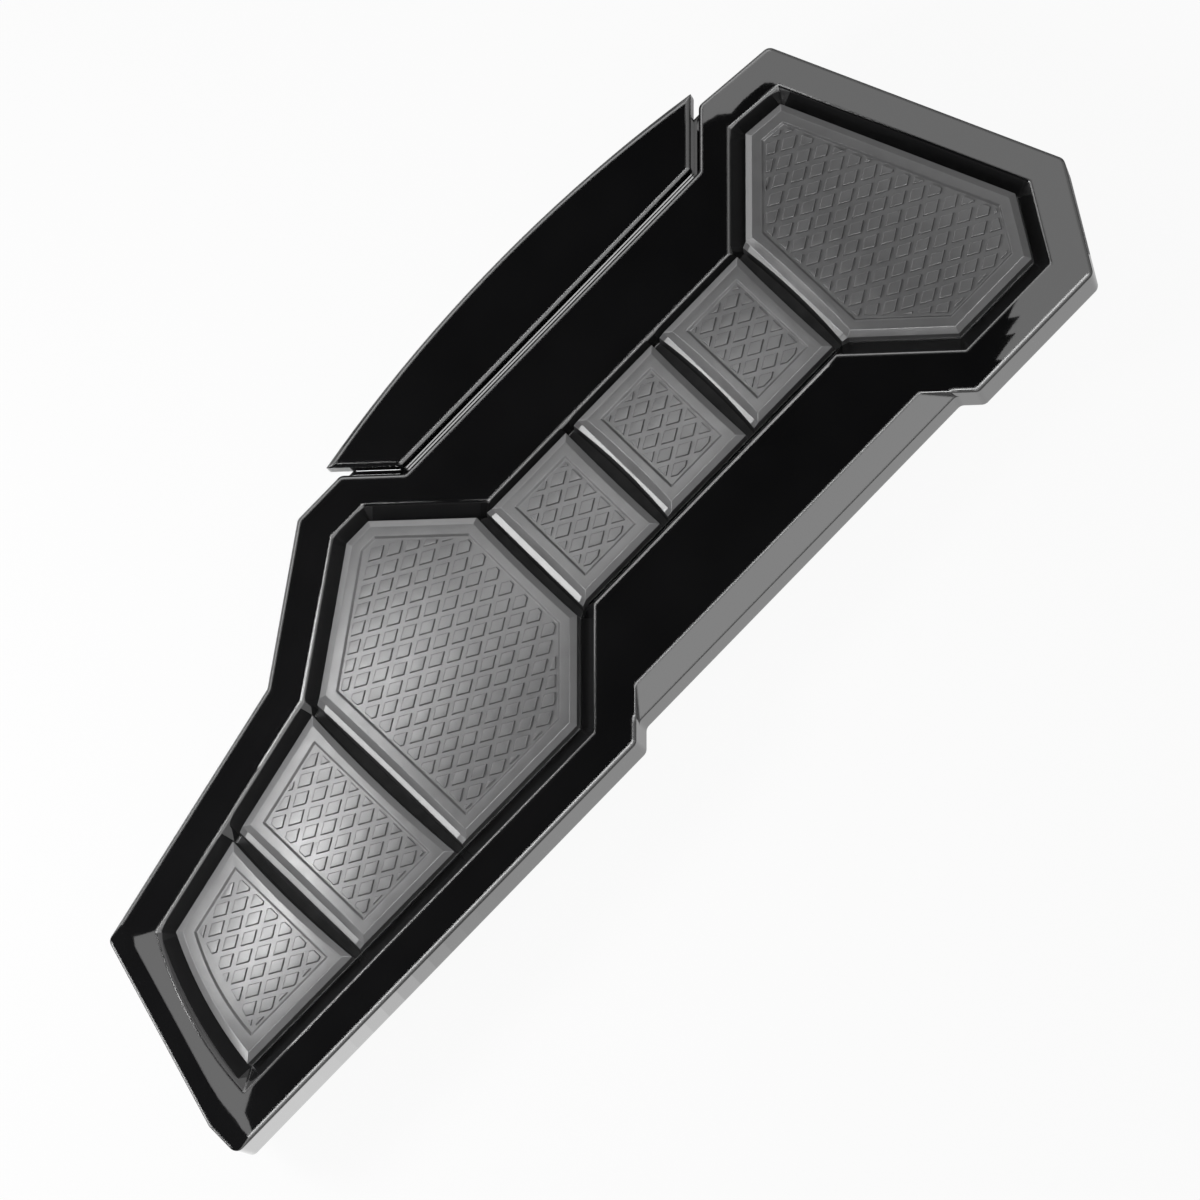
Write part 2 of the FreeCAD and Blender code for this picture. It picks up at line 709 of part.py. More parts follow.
def clevis(place):
    plate = prism(clevis_plate_outline(place), CLEVIS_UNDERSIDE, BOSS_FACE)
    inner = TONGUE_GAP / 2
    outer = inner + EAR_THICKNESS
    ears = [ear(place, place.x + inner), ear(place, place.x - outer)]
    bore = cylinder(PIVOT_BORE_RADIUS, place - FORWARD * outer, FORWARD, 2 * outer)
    holes = []
    for screw_place in clevis_screw_places(place):
        start = screw_place - UP * CLEVIS_PLATE_THICKNESS
        holes.append(cylinder(CLEVIS_SCREW_RADIUS + SCREW_CLEARANCE, start, UP, CLEVIS_PLATE_THICKNESS))
    return plate.fuse(ears).cut([bore] + holes).removeSplitter()


def clevis_screw(place):
    """Screw that comes up through the clevis's plate into its boss."""
    seat = place - UP * CLEVIS_PLATE_THICKNESS
    return hexagon_screw(seat, CLEVIS_SCREW_RADIUS, CLEVIS_PLATE_THICKNESS + CLEVIS_SCREW_DEPTH,
                         CLEVIS_SCREW_HEAD_WIDTH, CLEVIS_SCREW_HEAD_HEIGHT)


def export(shape, node):
    """Write one piece with the front pivot's bore centre at the origin."""
    placed = shape.copy()
    placed.translate(-ORIGIN)
    placed.exportStep("parts/" + node + ".step")


def main():
    os.makedirs("parts", exist_ok=True)
    rear_place, front_place = clevis_places()
    clevis_screws = []
    for place in clevis_places():
        clevis_screws += [clevis_screw(screw_place) for screw_place in clevis_screw_places(place)]
    export(board_casting(), "board_casting")
    export(tread_pad(), "tread_pad")
    export(outboard_rail(), "outboard_rail")
    export(Part.makeCompound([rail_screw(place) for place in rail_screw_places()]), "rail_screws")
    export(clevis(front_place), "front_clevis")
    export(clevis(rear_place), "rear_clevis")
    export(Part.makeCompound(clevis_screws), "clevis_screws")


main()
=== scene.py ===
"""Looks of the motorcycle floorboard: gloss black casting, grey rubber tread and plated fasteners."""

import math

import bmesh
import bpy
from mathutils import Matrix, Vector


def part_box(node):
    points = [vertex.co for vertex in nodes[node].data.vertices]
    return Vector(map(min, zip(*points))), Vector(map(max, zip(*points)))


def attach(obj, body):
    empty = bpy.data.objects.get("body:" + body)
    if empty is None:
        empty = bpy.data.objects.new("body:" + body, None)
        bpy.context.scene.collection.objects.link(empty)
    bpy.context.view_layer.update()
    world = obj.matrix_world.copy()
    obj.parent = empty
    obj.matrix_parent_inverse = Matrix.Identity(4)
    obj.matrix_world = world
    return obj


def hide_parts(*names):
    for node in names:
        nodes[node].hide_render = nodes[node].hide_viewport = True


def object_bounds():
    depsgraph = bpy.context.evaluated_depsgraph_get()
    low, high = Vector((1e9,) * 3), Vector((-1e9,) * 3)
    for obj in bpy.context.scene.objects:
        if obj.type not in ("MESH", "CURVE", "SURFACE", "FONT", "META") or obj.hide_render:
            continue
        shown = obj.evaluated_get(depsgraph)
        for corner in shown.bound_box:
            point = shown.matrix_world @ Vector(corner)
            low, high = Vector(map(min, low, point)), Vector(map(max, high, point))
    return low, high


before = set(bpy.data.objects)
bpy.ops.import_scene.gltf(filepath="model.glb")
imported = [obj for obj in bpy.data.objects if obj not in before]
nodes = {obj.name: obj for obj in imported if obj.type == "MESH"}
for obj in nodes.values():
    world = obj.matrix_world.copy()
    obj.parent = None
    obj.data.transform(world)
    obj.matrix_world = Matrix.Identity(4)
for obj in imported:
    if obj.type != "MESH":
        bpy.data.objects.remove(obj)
cad_low, cad_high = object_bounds()

MM = 0.001
WHITE = (1.0, 1.0, 1.0, 1.0)

# Corners of a square about its centre, counter-clockwise
QUAD_CORNERS = ((-1, -1), (1, -1), (1, 1), (-1, 1))

# The board's top plane, and where the drawing datum of the board lies in the frame
TOP_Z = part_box("board_casting")[1].z
DATUM = Vector((-104.6, 44.0, 0.0)) * MM


def on_board(x, y, height=0.0):
    """Point in the frame from millimetres along and across the board, and above its top."""
    return Vector((DATUM.x + x * MM, DATUM.y + y * MM, TOP_Z + height * MM))


# Camera
CAMERA_ELEVATION = math.radians(76.0)
CAMERA_ROLL = math.radians(45.77)
CAMERA_DISTANCE = 1.8
VIEW_WIDTH = 394.0 * MM
SENSOR_WIDTH = 36.0
VIEW_CENTRE = on_board(0.8, -25.7)


def add_camera():
    """Long lens above the inboard edge, rolled so that the board runs from lower left to upper right."""
    data = bpy.data.cameras.new("camera")
    data.sensor_width = SENSOR_WIDTH
    data.lens = SENSOR_WIDTH * CAMERA_DISTANCE / VIEW_WIDTH
    camera = bpy.data.objects.new("camera", data)
    bpy.context.scene.collection.objects.link(camera)
    back = Vector((0.0, -math.cos(CAMERA_ELEVATION), math.sin(CAMERA_ELEVATION)))
    along = Vector((1.0, 0.0, 0.0))
    above = back.cross(along)
    right = along * math.cos(CAMERA_ROLL) - above * math.sin(CAMERA_ROLL)
    up = along * math.sin(CAMERA_ROLL) + above * math.cos(CAMERA_ROLL)
    turn = Matrix((right, up, back)).transposed().to_4x4()
    camera.matrix_world = Matrix.Translation(VIEW_CENTRE + back * CAMERA_DISTANCE) @ turn
    bpy.context.scene.camera = camera
    return camera


# Materials

# Noise lies mostly between these two values
NOISE_LOW = 0.3
NOISE_HIGH = 0.7

# Radius of the paint's soft edges in millimetres, and how finely they are sampled
PAINT_EDGE = 1.2
PAINT_EDGE_SAMPLES = 8


def new_material(name):
    """New node material, its node tree and its main shader."""
    material = bpy.data.materials.new(name)
    material.use_nodes = True
    tree = material.node_tree
    shader = tree.nodes["Principled BSDF"]
    return material, tree, shader


def noise(tree, size_mm, detail=2.0):
    """Noise in the object's own metres, with features of about the given size."""
    coordinates = tree.nodes.new("ShaderNodeTexCoord")
    texture = tree.nodes.new("ShaderNodeTexNoise")
    texture.inputs["Scale"].default_value = 1.0 / (size_mm * MM)
    texture.inputs["Detail"].default_value = detail
    tree.links.new(coordinates.outputs["Object"], texture.inputs["Vector"])
    return texture.outputs["Fac"]


def spread(tree, value, low, high):
    """Map a noise value to a range of numbers."""
    scale = tree.nodes.new("ShaderNodeMapRange")
    scale.inputs["From Min"].default_value = NOISE_LOW
    scale.inputs["From Max"].default_value = NOISE_HIGH
    scale.inputs["To Min"].default_value = low
    scale.inputs["To Max"].default_value = high
    tree.links.new(value, scale.inputs["Value"])
    return scale.outputs["Result"]


def tint(tree, value, dark, light):
    """Blend between two colours by a noise value."""
    ramp = tree.nodes.new("ShaderNodeValToRGB")
    ramp.color_ramp.elements[0].position = NOISE_LOW
    ramp.color_ramp.elements[0].color = (*dark, 1.0)
    ramp.color_ramp.elements[1].position = NOISE_HIGH
    ramp.color_ramp.elements[1].color = (*light, 1.0)
    tree.links.new(value, ramp.inputs["Fac"])
    return ramp.outputs["Color"]


def bump(tree, value, depth_mm, below=None):
    """Bump of a real depth, on top of another bump where one is given."""
    node = tree.nodes.new("ShaderNodeBump")
    node.inputs["Strength"].default_value = 1.0
    node.inputs["Distance"].default_value = depth_mm * MM
    tree.links.new(value, node.inputs["Height"])
    if below is not None:
        tree.links.new(below, node.inputs["Normal"])
    return node.outputs["Normal"]


def gloss_paint():
    """Black lacquer that flows round the edges, with a faint orange peel."""
    material, tree, shader = new_material("gloss_paint")
    edge = tree.nodes.new("ShaderNodeBevel")
    edge.samples = PAINT_EDGE_SAMPLES
    edge.inputs["Radius"].default_value = PAINT_EDGE * MM
    peel = bump(tree, noise(tree, size_mm=2.2), depth_mm=0.0004, below=edge.outputs["Normal"])
    waves = bump(tree, noise(tree, size_mm=14.0, detail=1.0), depth_mm=0.008, below=peel)
    black = tint(tree, noise(tree, size_mm=30.0),
                 dark=(0.0085, 0.0085, 0.009), light=(0.0115, 0.0115, 0.012))
    roughness = spread(tree, noise(tree, size_mm=6.0), low=0.012, high=0.02)
    tree.links.new(black, shader.inputs["Base Color"])
    tree.links.new(roughness, shader.inputs["Roughness"])
    tree.links.new(waves, shader.inputs["Normal"])
    tree.links.new(waves, shader.inputs["Coat Normal"])
    shader.inputs["Coat Weight"].default_value = 1.0
    shader.inputs["Coat Roughness"].default_value = 0.012
    return material


def mottled(name, colours, colour_noise, roughness, roughness_noise, bump_mm, bump_noise):
    """Material whose colour, roughness and bump each follow a noise, given by its size and detail."""
    material, tree, shader = new_material(name)
    colour = tint(tree, noise(tree, *colour_noise), *colours)
    gloss = spread(tree, noise(tree, *roughness_noise), *roughness)
    normal = bump(tree, noise(tree, *bump_noise), bump_mm)
    tree.links.new(colour, shader.inputs["Base Color"])
    tree.links.new(gloss, shader.inputs["Roughness"])
    tree.links.new(normal, shader.inputs["Normal"])
    return material, shader


def tread_rubber():
    """Moulded grey rubber, semi-gloss, with a fine grain."""
    material, _ = mottled(
        "tread_rubber",
        colours=((0.150, 0.150, 0.152), (0.172, 0.172, 0.174)),
        colour_noise=(9.0, 4.0),
        roughness=(0.17, 0.22),
        roughness_noise=(4.0, 3.0),
        bump_mm=0.004,
        bump_noise=(0.35, 3.0),
    )
    return material


def painted_shade_rubber():
    """Rubber painted near black and dull at the bottom of the channels, as painted shade where they lie in
    shadow.
    """
    material, shader = mottled(
        "painted_shade_rubber",
        colours=((0.030, 0.030, 0.031), (0.040, 0.040, 0.041)),
        colour_noise=(9.0, 4.0),
        roughness=(0.7, 0.85),
        roughness_noise=(4.0, 3.0),
        bump_mm=0.004,
        bump_noise=(0.35, 3.0),
    )
    shader.inputs["Specular IOR Level"].default_value = 0.1
    return material


def plated_steel():
    """Zinc plate on steel, slightly blotched."""
    material, shader = mottled(
        "plated_steel",
        colours=((0.50, 0.50, 0.50), (0.62, 0.62, 0.63)),
        colour_noise=(2.5, 4.0),
        roughness=(0.24, 0.38),
        roughness_noise=(1.2, 3.0),
        bump_mm=0.003,
        bump_noise=(0.4, 2.0),
    )
    shader.inputs["Metallic"].default_value = 1.0
    return material


def satin_paint():
    """Satin black paint over a sand-cast skin."""
    material, _ = mottled(
        "satin_paint",
        colours=((0.013, 0.013, 0.014), (0.020, 0.020, 0.021)),
        colour_noise=(5.0, 4.0),
        roughness=(0.36, 0.5),
        roughness_noise=(1.5, 3.0),
        bump_mm=0.02,
        bump_noise=(0.7, 3.0),
    )
    return material


# Edges
EDGE_ANGLE = math.radians(18.0)
EDGE_SEGMENTS = 3
CLEVIS_ROUNDING = 0.4
SCREW_ROUNDING = 0.25
TREAD_EDGE_ANGLE = math.radians(9.0)
TREAD_EDGE_SEGMENTS = 2
TREAD_ROUNDING = 0.16
FLAT_ANGLE = math.radians(0.5)
WELD_DISTANCE = 0.002 * MM
NORMAL_WEIGHT = 100


def round_edges(node, width_mm):
    """Weld the solid's faces, and round every edge that turns by more than a little."""
    weld = node.modifiers.new("weld", "WELD")
    weld.merge_threshold = WELD_DISTANCE
    flatten = node.modifiers.new("flatten", "DECIMATE")
    flatten.decimate_type = "DISSOLVE"
    flatten.angle_limit = FLAT_ANGLE
    add_rounding(node, width_mm, EDGE_SEGMENTS, EDGE_ANGLE)


def add_rounding(piece, width_mm, segments, angle):
    """Round the edges that turn by more than an angle, and shade the faces between them flat."""
    bevel = piece.modifiers.new("round", "BEVEL")
    bevel.width = width_mm * MM
    bevel.segments = segments
    bevel.limit_method = "ANGLE"
    bevel.angle_limit = angle
    bevel.use_clamp_overlap = False
    bevel.miter_outer = "MITER_ARC"
    normals = piece.modifiers.new("normals", "WEIGHTED_NORMAL")
    normals.keep_sharp = False
    normals.weight = NORMAL_WEIGHT


def dress(name, material, width_mm=None):
    """Give a solid its material, and rounded edges where its material has no soft edges of its own."""
    node = nodes[name]
    node.data.materials.clear()
    node.data.materials.append(material)
    if width_mm is not None:
        for polygon in node.data.polygons:
            polygon.use_smooth = True
        round_edges(node, width_mm)


# Tread outline in millimetres, from the heel to the toe
PAD_HALF_WIDTH = 49.8
WAIST_HALF_WIDTH = 22.3
WAIST_START_X = -6.5
SQUARE_COUNT = 3
SQUARE_PITCH = 40.6
WAIST_MARGIN = 1.2
BALL_FLAT = 10.4
INSTEP_RUN = 45.2
INSTEP_DROP = 32.1
ARCH_RUN = 85.4
ARCH_DROP = 18.9
HEEL_RAKE = 13.4
HEEL_BOW = 2.2
HEEL_GROOVE_RUN = 48.0
TOE_TOP_FLAT = 15.2
TOE_TOP_DROP = 1.5
TOE_BOTTOM_FLAT = 34.2
NOSE_RUN = 12.0
NOSE_RISE = 19.3

# Tread section in millimetres
PAD_TOP = 1.5
PAD_BEVEL = 2.3
PAD_BEVEL_DROP = 1.2
PAD_BORDER = 3.2
FIELD_DEPTH = 0.7
FIELD_SLOPE = 0.7
GROOVE_RADIUS = 2.8
GROOVE_DEPTH = 5.6
LIP_DROP = 1.1
RECESS_DEPTH = 6.0
PAN_THICKNESS = 4.5

# Channels: the wall's end and the lip's start as shares of the groove's width, the floor's end as a share
# of the way to the lip, the lip's tilt, and how fast it dips from its ends
CHANNEL_WALL = 0.02
LIP_START = 0.62
CHANNEL_FLOOR_END = 0.75
LIP_TILT = math.radians(26.0)
LIP_DROP_POWER = 0.25

# Diamonds in millimetres, with the top as a share of the foot
DIAMOND_PITCH_X = 11.0
DIAMOND_PITCH_Y = 6.7
DIAMOND_LENGTH = 8.2
DIAMOND_WIDTH = 5.0
DIAMOND_TAPER = 0.87
DIAMOND_SINK = 0.05
DIAMOND_MARGIN = 0.8
SMALLEST_DIAMOND_AREA = 1.2

# Plugs in millimetres
PLUG_WIDTH = 8.0
PLUG_HEAD_WIDTH = 11.0
PLUG_HEAD_LENGTH = 4.5
PLUG_CLEARANCE = 0.2
BALL_PLUG_Y = 26.0

# Places of the tread's two materials in its list: the top rubber, and the rubber painted dark as shade in
# the channels
TOP_MATERIAL = 0
CHANNEL_SHADE_MATERIAL = 1

# Heights from the casting's top, and places along the board
PAD_FOOT = PAD_TOP - PAD_BEVEL_DROP
FIELD_FLOOR = PAD_TOP - FIELD_DEPTH
RECESS_FLOOR = -RECESS_DEPTH
PLUG_SHOULDER = RECESS_FLOOR - PAN_THICKNESS - PLUG_CLEARANCE
FLARE = PAD_HALF_WIDTH - WAIST_HALF_WIDTH
WAIST_END_X = WAIST_START_X + SQUARE_COUNT * SQUARE_PITCH + 2 * WAIST_MARGIN
BALL_CORNER_X = WAIST_START_X - FLARE
INSTEP_X = BALL_CORNER_X - BALL_FLAT - INSTEP_RUN
ARCH_END_X = INSTEP_X - ARCH_RUN
TOE_CORNER_X = WAIST_END_X + FLARE
NOSE_X = TOE_CORNER_X + TOE_BOTTOM_FLAT + NOSE_RUN
GROOVES = [INSTEP_X - HEEL_GROOVE_RUN, INSTEP_X]
GROOVES += [WAIST_START_X + WAIST_MARGIN + k * SQUARE_PITCH for k in range(SQUARE_COUNT + 1)]

# For each groove: the hollow of the edge behind it, the hollow of the crest ahead of it, its slant,
# and where the lip starts at mid length as a share of the groove's width
EDGE_HOLLOWS = [1.1, 1.1, 0.5, 0.3, 0.3, 0.3]
CREST_HOLLOWS = [0.1, 0.1, 0.2, 0.7, 0.7, 0.7]
SLANTS = [0.02, 0.02, 0.0, 0.0, 0.0, 0.0]
LIP_MIDDLES = [0.68, 0.72, 0.64, 0.85, 0.87, 0.85]

# Places of the ball and of the first square in the order of the segments from the heel
BALL_SEGMENT = 2
FIRST_SQUARE = 3

# For each segment, where its grid of diamonds lies from the middle of the segment
DIAMOND_SHIFTS = [(-0.7, -2.2), (-1.6, 2.7), (-3.2, -0.3), (-0.7, 2.8),
                  (-0.2, 2.7), (-0.2, 2.7), (2.8, -0.2)]

# An edge lies along a groove if its normal points this nearly along the board
FACING = 0.999

# Steps along an edge that is bowed or lies along a groove
EDGE_STEPS = 24


# Outlines are counter-clockwise corners (x, y, bow), where the bow is how far the next edge bulges outwards
def tread_outline():
    """The whole tread's outline, from the inboard corner of the heel."""
    half = PAD_HALF_WIDTH
    waist = WAIST_HALF_WIDTH
    instep_y = half - INSTEP_DROP
    return [
        (ARCH_END_X - HEEL_RAKE, -half, 0.0),
        (BALL_CORNER_X, -half, 0.0),
        (WAIST_START_X, -waist, 0.0),
        (WAIST_END_X, -waist, 0.0),
        (TOE_CORNER_X, -half, 0.0),
        (TOE_CORNER_X + TOE_BOTTOM_FLAT, -half, 0.0),
        (NOSE_X, -half + NOSE_RISE, 0.0),
        (TOE_CORNER_X + TOE_TOP_FLAT, half - TOE_TOP_DROP, 0.0),
        (TOE_CORNER_X, half, 0.0),
        (WAIST_END_X, waist, 0.0),
        (WAIST_START_X, waist, 0.0),
        (BALL_CORNER_X, half, 0.0),
        (BALL_CORNER_X - BALL_FLAT, half, 0.0),
        (INSTEP_X, instep_y, 0.0),
        (ARCH_END_X, instep_y - ARCH_DROP, HEEL_BOW),
    ]


def edges(outline):
    """Start, end and outward normal of each edge."""
    found = []
    for index, corner in enumerate(outline):
        start = Vector(corner[:2])
        end = Vector(outline[(index + 1) % len(outline)][:2])
        along = (end - start).normalized()
        found.append((start, end, Vector((along.y, -along.x))))
    return found


def grown(outline, distance):
    """Move every edge outwards by a distance, or inwards if it is negative."""
    sides = edges(outline)
    moved = []
    for index, corner in enumerate(outline):
        start, _, normal = sides[index]
        between = (normal + sides[index - 1][2]).normalized()
        meeting = start + between * (distance / between.dot(normal))
        moved.append((meeting.x, meeting.y, corner[2]))
    return moved


def clipped(outline, on_line, outward):
    """Cut off what lies beyond a straight line, given a point on it and the outward direction."""
    kept = []
    for index, corner in enumerate(outline):
        here = Vector(corner[:2])
        following = Vector(outline[(index + 1) % len(outline)][:2])
        depth = (here - on_line).dot(outward)
        next_depth = (following - on_line).dot(outward)
        if depth <= 0:
            kept.append(corner)
        if depth * next_depth < 0:
            crossing = here.lerp(following, depth / (depth - next_depth))
            kept.append((crossing.x, crossing.y, 0.0))
    return kept


def hollowed(outline, side, hollow):
    """The outline with its edge at the forward or rear groove bowed inwards."""
    return [(x, y, -hollow if normal.x * side > FACING else bow)
            for (x, y, bow), (_, _, normal) in zip(outline, edges(outline))]


def segment_outlines():
    """Feet of the tread's segments, each hollowed slightly along its forward groove."""
    outlines = []
    last = len(GROOVES)
    for index in range(last + 1):
        outline = tread_outline()
        if index > 0:
            across = Vector((1.0, SLANTS[index - 1])).normalized()
            outline = clipped(outline, Vector((GROOVES[index - 1] + GROOVE_RADIUS, 0.0)), -across)
        if index < last:
            across = Vector((1.0, SLANTS[index])).normalized()
            outline = clipped(outline, Vector((GROOVES[index] - GROOVE_RADIUS, 0.0)), across)
            outline = hollowed(outline, 1, EDGE_HOLLOWS[index])
        outlines.append(outline)
    return outlines


def arch(share):
    """Nothing at both ends of an edge, and one at its middle."""
    return 4.0 * share * (1.0 - share)


def along_edge(start, end, normal, bow, share):
    """Point at a share of the way along an edge that bulges by its bow."""
    return start.lerp(end, share) + normal * (arch(share) * bow)


def steps_along(normal, bow):
    """Steps along an edge: many if it is bowed or lies along a groove."""
    return EDGE_STEPS if abs(normal.x) > FACING or bow else 1


def lip_drop(share):
    """How far a segment's foot dips at a share of the way along its rear groove."""
    return LIP_DROP * math.sin(math.pi * share) ** LIP_DROP_POWER


def foot_heights(outline):
    """Height of each point round a segment's foot."""
    heights = []
    for (_, _, bow), (_, _, normal) in zip(outline, edges(outline)):
        steps = steps_along(normal, bow)
        dips = normal.x < -FACING
        heights += [PAD_FOOT - lip_drop(k / steps) if dips else PAD_FOOT for k in range(steps)]
    return heights


def sampled(outline, hollow=True):
    """Points round an outline, and whether the step after each point lies along a groove."""
    points = []
    at_groove = []
    for (_, _, bow), (start, end, normal) in zip(outline, edges(outline)):
        steps = steps_along(normal, bow)
        rise = bow if hollow else max(bow, 0.0)
        points += [along_edge(start, end, normal, rise, k / steps) for k in range(steps)]
        at_groove += [abs(normal.x) > FACING] * steps
    return points, at_groove


def groove_edge(outline, side):
    """Points along a segment's edge at its forward or rear groove, from inboard to outboard."""
    for (_, _, bow), (start, end, normal) in zip(outline, edges(outline)):
        if normal.x * side > FACING:
            points = [along_edge(start, end, normal, bow, k / EDGE_STEPS) for k in range(EDGE_STEPS + 1)]
            return points if side > 0 else points[::-1]


def ring(shape, points, height):
    """Points of a ring at one height."""
    return uneven_ring(shape, points, [height] * len(points))


def uneven_ring(shape, points, heights):
    """Points of a ring, each at its own height."""
    return [shape.verts.new(on_board(point.x, point.y, height)) for point, height in zip(points, heights)]


def bridge(shape, lower, upper, left_open=None):
    """Quads from one ring up to the next, except over steps that are left open."""
    for k in range(len(lower)):
        following = (k + 1) % len(lower)
        if left_open is None or not left_open[k]:
            shape.faces.new((lower[k], lower[following], upper[following], upper[k]))


def frustum(shape, lower, bottom, upper, top):
    """Closed block from one ring of points up to another."""
    low_ring = ring(shape, lower, bottom)
    high_ring = ring(shape, upper, top)
    bridge(shape, low_ring, high_ring)
    shape.faces.new(low_ring[::-1])
    shape.faces.new(high_ring)


def add_segment(shape, outline, crest_hollow):
    """One segment: side walls, a bevel, a border and a sunk field."""
    foot, at_groove = sampled(outline)
    crest = sampled(hollowed(grown(outline, -PAD_BEVEL), -1, crest_hollow))[0]
    field = sampled(grown(outline, -PAD_BEVEL - PAD_BORDER), hollow=False)[0]
    floor = sampled(grown(outline, -PAD_BEVEL - PAD_BORDER - FIELD_SLOPE), hollow=False)[0]
    bottom_ring = ring(shape, foot, RECESS_FLOOR)
    foot_ring = uneven_ring(shape, foot, foot_heights(outline))
    bridge(shape, bottom_ring, foot_ring, at_groove)
    shape.faces.new(bottom_ring[::-1])
    below = foot_ring
    for points, height in ((crest, PAD_TOP), (field, PAD_TOP), (floor, FIELD_FLOOR)):
        above = ring(shape, points, height)
        bridge(shape, below, above)
        below = above
    shape.faces.new(below)


def add_channel(shape, behind, ahead, lip_middle):
    """Channel that drops at one segment's edge and climbs by a sloped lip to the next one's."""
    sections = []
    for k, (start, end) in enumerate(zip(behind, ahead)):
        share = k / EDGE_STEPS
        lip = LIP_START + (lip_middle - LIP_START) * arch(share)
        top = lip_drop(share)
        lip_foot = top + math.tan(LIP_TILT) * (1.0 - lip) * (end - start).length
        profile = (
            (0.0, 0.0),
            (CHANNEL_WALL, GROOVE_DEPTH),
            (CHANNEL_FLOOR_END * lip, GROOVE_DEPTH),
            (lip, lip_foot),
            (1.0, top),
        )
        section = []
        for part, depth in profile:
            place = start.lerp(end, part)
            section.append(shape.verts.new(on_board(place.x, place.y, PAD_FOOT - depth)))
        sections.append(section)
    rows = list(zip(*sections))
    for near, far in zip(rows, rows[1:]):
        for k in range(EDGE_STEPS):
            face = shape.faces.new((near[k], far[k], far[k + 1], near[k + 1]))
            # Faces below the lip take the channel rubber, painted near black as shade; the lip keeps the top
            # rubber
            face.material_index = TOP_MATERIAL if far is rows[-1] else CHANNEL_SHADE_MATERIAL
    near_foot = ring(shape, behind, RECESS_FLOOR)
    far_foot = ring(shape, ahead, RECESS_FLOOR)
    shape.faces.new([near_foot[0], far_foot[0]] + [row[0] for row in rows[::-1]])
    shape.faces.new([far_foot[-1], near_foot[-1]] + [row[-1] for row in rows])
    shape.faces.new(near_foot + far_foot[::-1])


def middle(outline):
    """Centre of an outline's box."""
    xs = [corner[0] for corner in outline]
    ys = [corner[1] for corner in outline]
    return Vector(((min(xs) + max(xs)) / 2.0, (min(ys) + max(ys)) / 2.0))


def area(outline):
    """Area of an outline with straight edges."""
    total = 0.0
    for start, end, _ in edges(outline):
        total += (start.x * end.y - end.x * start.y) / 2.0
    return total


def tapered(points, share):
    """Points drawn in towards their mean."""
    mean = sum(points, Vector((0.0, 0.0))) / len(points)
    return [mean.lerp(point, share) for point in points]


def add_diamonds(shape, outline, shift):
    """Raised diamonds of one field, in a staggered grid cut off at the field's margin."""
    limits = edges(grown(outline, -PAD_BEVEL - PAD_BORDER - FIELD_SLOPE - DIAMOND_MARGIN))
    centre = middle(outline) + Vector(shift)
    half_x = DIAMOND_LENGTH / 2.0
    half_y = DIAMOND_WIDTH / 2.0
    reach = int(2.0 * PAD_HALF_WIDTH / DIAMOND_PITCH_Y)
    for column in range(-reach, reach + 1):
        for row in range(-reach, reach + 1):
            if (column + row) % 2:
                continue
            x = centre.x + column * DIAMOND_PITCH_X / 2.0
            y = centre.y + row * DIAMOND_PITCH_Y / 2.0
            base = [(x - half_x, y, 0.0), (x, y - half_y, 0.0), (x + half_x, y, 0.0), (x, y + half_y, 0.0)]
            for start, _, normal in limits:
                base = clipped(base, start, normal)
            if len(base) < 3 or area(base) < SMALLEST_DIAMOND_AREA:
                continue
            points = [Vector(corner[:2]) for corner in base]
            frustum(shape, points, FIELD_FLOOR - DIAMOND_SINK, tapered(points, DIAMOND_TAPER), PAD_TOP)


def plug_places(outlines):
    """One plug in each heel segment and every other square, and two in the ball and the toe."""
    places = [middle(outline) for outline in outlines[:BALL_SEGMENT]]
    places += [middle(outlines[k]) for k in range(FIRST_SQUARE, FIRST_SQUARE + SQUARE_COUNT, 2)]
    for outline in (outlines[BALL_SEGMENT], outlines[-1]):
        places += [Vector((middle(outline).x, side * BALL_PLUG_Y)) for side in (-1.0, 1.0)]
    return places


def square(centre, width):
    """Corners of a level square."""
    return [centre + Vector(corner) * (width / 2.0) for corner in QUAD_CORNERS]


def add_plug(shape, place):
    """Square stud through the pan with a tapered head below it."""
    stud = square(place, PLUG_WIDTH)
    frustum(shape, stud, PLUG_SHOULDER, stud, RECESS_FLOOR)
    frustum(shape, stud, PLUG_SHOULDER - PLUG_HEAD_LENGTH, square(place, PLUG_HEAD_WIDTH), PLUG_SHOULDER)


def add_tread(top_material, channel_shade_material):
    """The rubber tread with hollowed segment edges and every cut-off diamond."""
    outlines = segment_outlines()
    shape = bmesh.new()
    for outline, crest_hollow, shift in zip(outlines, [0.0] + CREST_HOLLOWS, DIAMOND_SHIFTS):
        add_segment(shape, outline, crest_hollow)
        add_diamonds(shape, outline, shift)
    for behind, ahead, lip_middle in zip(outlines, outlines[1:], LIP_MIDDLES):
        add_channel(shape, groove_edge(behind, 1), groove_edge(ahead, -1), lip_middle)
    for place in plug_places(outlines):
        add_plug(shape, place)
    bmesh.ops.remove_doubles(shape, verts=shape.verts, dist=WELD_DISTANCE)
    bmesh.ops.recalc_face_normals(shape, faces=shape.faces)
    mesh = bpy.data.meshes.new("tread")
    shape.to_mesh(mesh)
    shape.free()
    mesh.materials.append(top_material)
    mesh.materials.append(channel_shade_material)
    for polygon in mesh.polygons:
        polygon.use_smooth = True
    tread = bpy.data.objects.new("tread", mesh)
    bpy.context.scene.collection.objects.link(tread)
    add_rounding(tread, TREAD_ROUNDING, TREAD_EDGE_SEGMENTS, TREAD_EDGE_ANGLE)
    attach(tread, "root")
    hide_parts("tread_pad")


# Studio
def emission(name, strength):
    """White light of a given strength."""
    material = bpy.data.materials.new(name)
    material.use_nodes = True
    tree = material.node_tree
    tree.nodes.clear()
    shader = tree.nodes.new("ShaderNodeEmission")
    shader.inputs["Color"].default_value = WHITE
    shader.inputs["Strength"].default_value = strength
    output = tree.nodes.new("ShaderNodeOutputMaterial")
    tree.links.new(shader.outputs["Emission"], output.inputs["Surface"])
    return material


